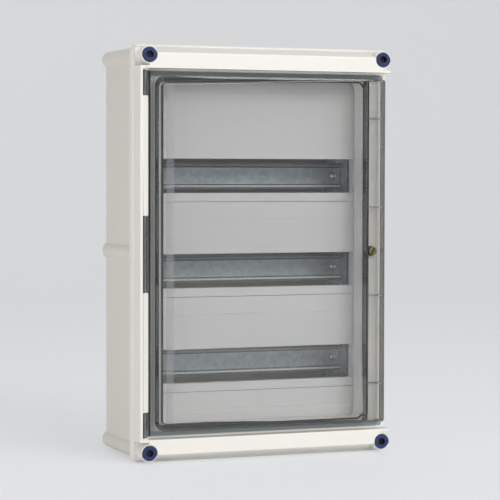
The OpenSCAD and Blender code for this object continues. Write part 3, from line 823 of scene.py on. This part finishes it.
def makeScrewTree(values):
    # domed pan head with a cross recess and a plain shank, one at every point it is given
    group = bpy.data.node_groups.new("crossHeadScrews", "GeometryNodeTree")
    sockets = group.interface
    sockets.new_socket("Geometry", in_out="INPUT", socket_type="NodeSocketGeometry")
    for label in ("Head Radius", "Head Height", "Shank Radius", "Shank Length",
                  "Cross Width", "Cross Reach"):
        sockets.new_socket(label, in_out="INPUT", socket_type="NodeSocketFloat")
    sockets.new_socket("Material", in_out="INPUT", socket_type="NodeSocketMaterial")
    sockets.new_socket("Geometry", in_out="OUTPUT", socket_type="NodeSocketGeometry")
    given = group.nodes.new("NodeGroupInput").outputs
    outs = group.nodes.new("NodeGroupOutput")

    def share(label, by):
        return maths(group, "MULTIPLY", given[label], by)

    def lift(geometry, height):
        up = put(group, "ShaderNodeCombineXYZ", {"Z": height})
        return put(group, "GeometryNodeTransform",
                   {"Geometry": geometry, "Translation": up.outputs[0]}).outputs["Geometry"]

    def join(*parts):
        node = put(group, "GeometryNodeJoinGeometry")
        for part in parts:
            feed(group, node.inputs[0], part)
        return node.outputs[0]

    bands = []
    for low, high, wide, narrow in values["rings"]:
        cone = put(group, "GeometryNodeMeshCone",
                   {"Vertices": values["headSides"], "Radius Top": share("Head Radius", narrow),
                    "Radius Bottom": share("Head Radius", wide),
                    "Depth": share("Head Height", high - low)}, fill_type="NONE")
        bands.append(lift(cone.outputs["Mesh"], share("Head Height", low)))
    under = put(group, "GeometryNodeMeshCircle",
                {"Vertices": values["headSides"], "Radius": share("Head Radius", 1.0)},
                fill_type="NGON")
    dome = put(group, "GeometryNodeMergeByDistance",
               {"Distance": hair, "Geometry": join(under.outputs["Mesh"], *bands)})

    carve = put(group, "GeometryNodeMeshBoolean", {"Mesh 1": dome.outputs["Geometry"]},
                operation="DIFFERENCE", solver="EXACT")
    for along, across in (("X", "Y"), ("Y", "X")):
        reach = maths(group, "MULTIPLY", share("Head Radius", 2.0), given["Cross Reach"])
        size = put(group, "ShaderNodeCombineXYZ",
                   {along: reach, across: given["Cross Width"],
                    "Z": share("Head Height", values["armTall"])})
        arm = put(group, "GeometryNodeMeshCube", {"Size": size.outputs[0]})
        middle = share("Head Height", values["armMiddle"])
        feed(group, carve.inputs["Mesh 2"], lift(arm.outputs["Mesh"], middle))

    shank = put(group, "GeometryNodeMeshCylinder",
                {"Vertices": values["shankSides"], "Radius": given["Shank Radius"],
                 "Depth": given["Shank Length"]}, fill_type="NGON")
    screw = join(carve.outputs["Mesh"],
                 lift(shank.outputs["Mesh"], share("Shank Length", -0.5)))

    spin = put(group, "FunctionNodeRandomValue", {"Max": math.pi}, data_type="FLOAT")
    turn = put(group, "ShaderNodeCombineXYZ", {"X": math.pi / 2, "Y": spin.outputs["Value"]})
    spread = put(group, "GeometryNodeInstanceOnPoints",
                 {"Points": given["Geometry"], "Instance": screw, "Rotation": turn.outputs[0]})
    real = put(group, "GeometryNodeRealizeInstances", {"Geometry": spread.outputs["Instances"]})
    finish = put(group, "GeometryNodeSetMaterial",
                 {"Geometry": real.outputs["Geometry"], "Material": given["Material"]})
    feed(group, outs.inputs["Geometry"], finish.outputs["Geometry"])
    return group


def looseParts(work):
    left = set(work.verts)
    while left:
        part, front = set(), [left.pop()]
        while front:
            v = front.pop()
            part.add(v)
            front += [w for w in (e.other_vert(v) for e in v.link_edges) if w in left]
            left -= set(front)
        yield part


screwReading = {
    "rim": 0.9,                # share of a head's radius from which a corner is on its rim
    "tip": 1e-5,               # metres from a screw's end within which a corner is on its tip
}


def measureScrews(name):
    # seat centres and the common sizes of a node's screws, whose heads look to -y
    work = bmesh.new()
    work.from_mesh(nodes[name].data)
    bmesh.ops.remove_doubles(work, verts=work.verts, dist=rounding["weld"])
    found = []
    for part in looseParts(work):
        xs, ys, zs = zip(*(v.co for v in part))
        x, z = (min(xs) + max(xs)) / 2, (min(zs) + max(zs)) / 2
        head = (max(xs) - min(xs)) / 2
        off = {v: math.hypot(v.co.x - x, v.co.z - z) for v in part}
        seat = max(v.co.y for v in part if off[v] > screwReading["rim"] * head)
        tip = max(ys) - screwReading["tip"]
        shank = max(off[v] for v in part if v.co.y > tip)
        found.append(((x, seat, z), {
            "Head Radius": head, "Head Height": seat - min(ys),
            "Shank Radius": shank, "Shank Length": max(ys) - seat,
        }))
    work.free()
    # in a fixed order, so that every run turns the same screw by the same angle
    found.sort(key=lambda screw: screw[0])
    return [seat for seat, sizes in found], found[0][1]


screwTree = makeScrewTree(screwShape)
screwSets = {
    # node: material, slot, width of the cross's arms, their reach as a share of the radius
    "plate_screws": ("zincScrew", "zinc_screw", 0.0009, 0.52),
    "rail_screws": ("zincScrew", "zinc_screw", 0.0011, 0.52),
    "upright_screws": ("zincScrew", "zinc_screw", 0.0011, 0.52),
}


def makeScrews(name, materialName, slotName, crossWidth, crossReach):
    seats, sizes = measureScrews(name)
    sizes.update({"Cross Width": crossWidth, "Cross Reach": crossReach,
                  "Material": materials[materialName]})
    points = bpy.data.meshes.new(name + "Seats")
    points.from_pydata(seats, [], [])
    piece = bpy.data.objects.new(name + "Piece", points)
    scene.collection.objects.link(piece)
    repeat = piece.modifiers.new("repeat", "NODES")
    repeat.node_group = screwTree
    for item in screwTree.interface.items_tree:
        if item.in_out == "INPUT" and item.name in sizes:
            repeat[item.identifier] = sizes[item.name]
    evaluated = piece.evaluated_get(bpy.context.evaluated_depsgraph_get())
    mesh = bpy.data.meshes.new_from_object(evaluated)
    piece.modifiers.remove(repeat)
    piece.data = mesh
    smoothMesh(mesh, screwShape["smoothBelow"])
    print(name, "screws:", len(seats), "faces:", len(mesh.polygons))
    return handOver(piece, name, slotName)


pieces = {name: dress(name, *values) for name, values in dressing.items()}
pieces.update({name: makeScrews(name, *values) for name, values in screwSets.items()})
print("pieces dressed:", len(pieces))
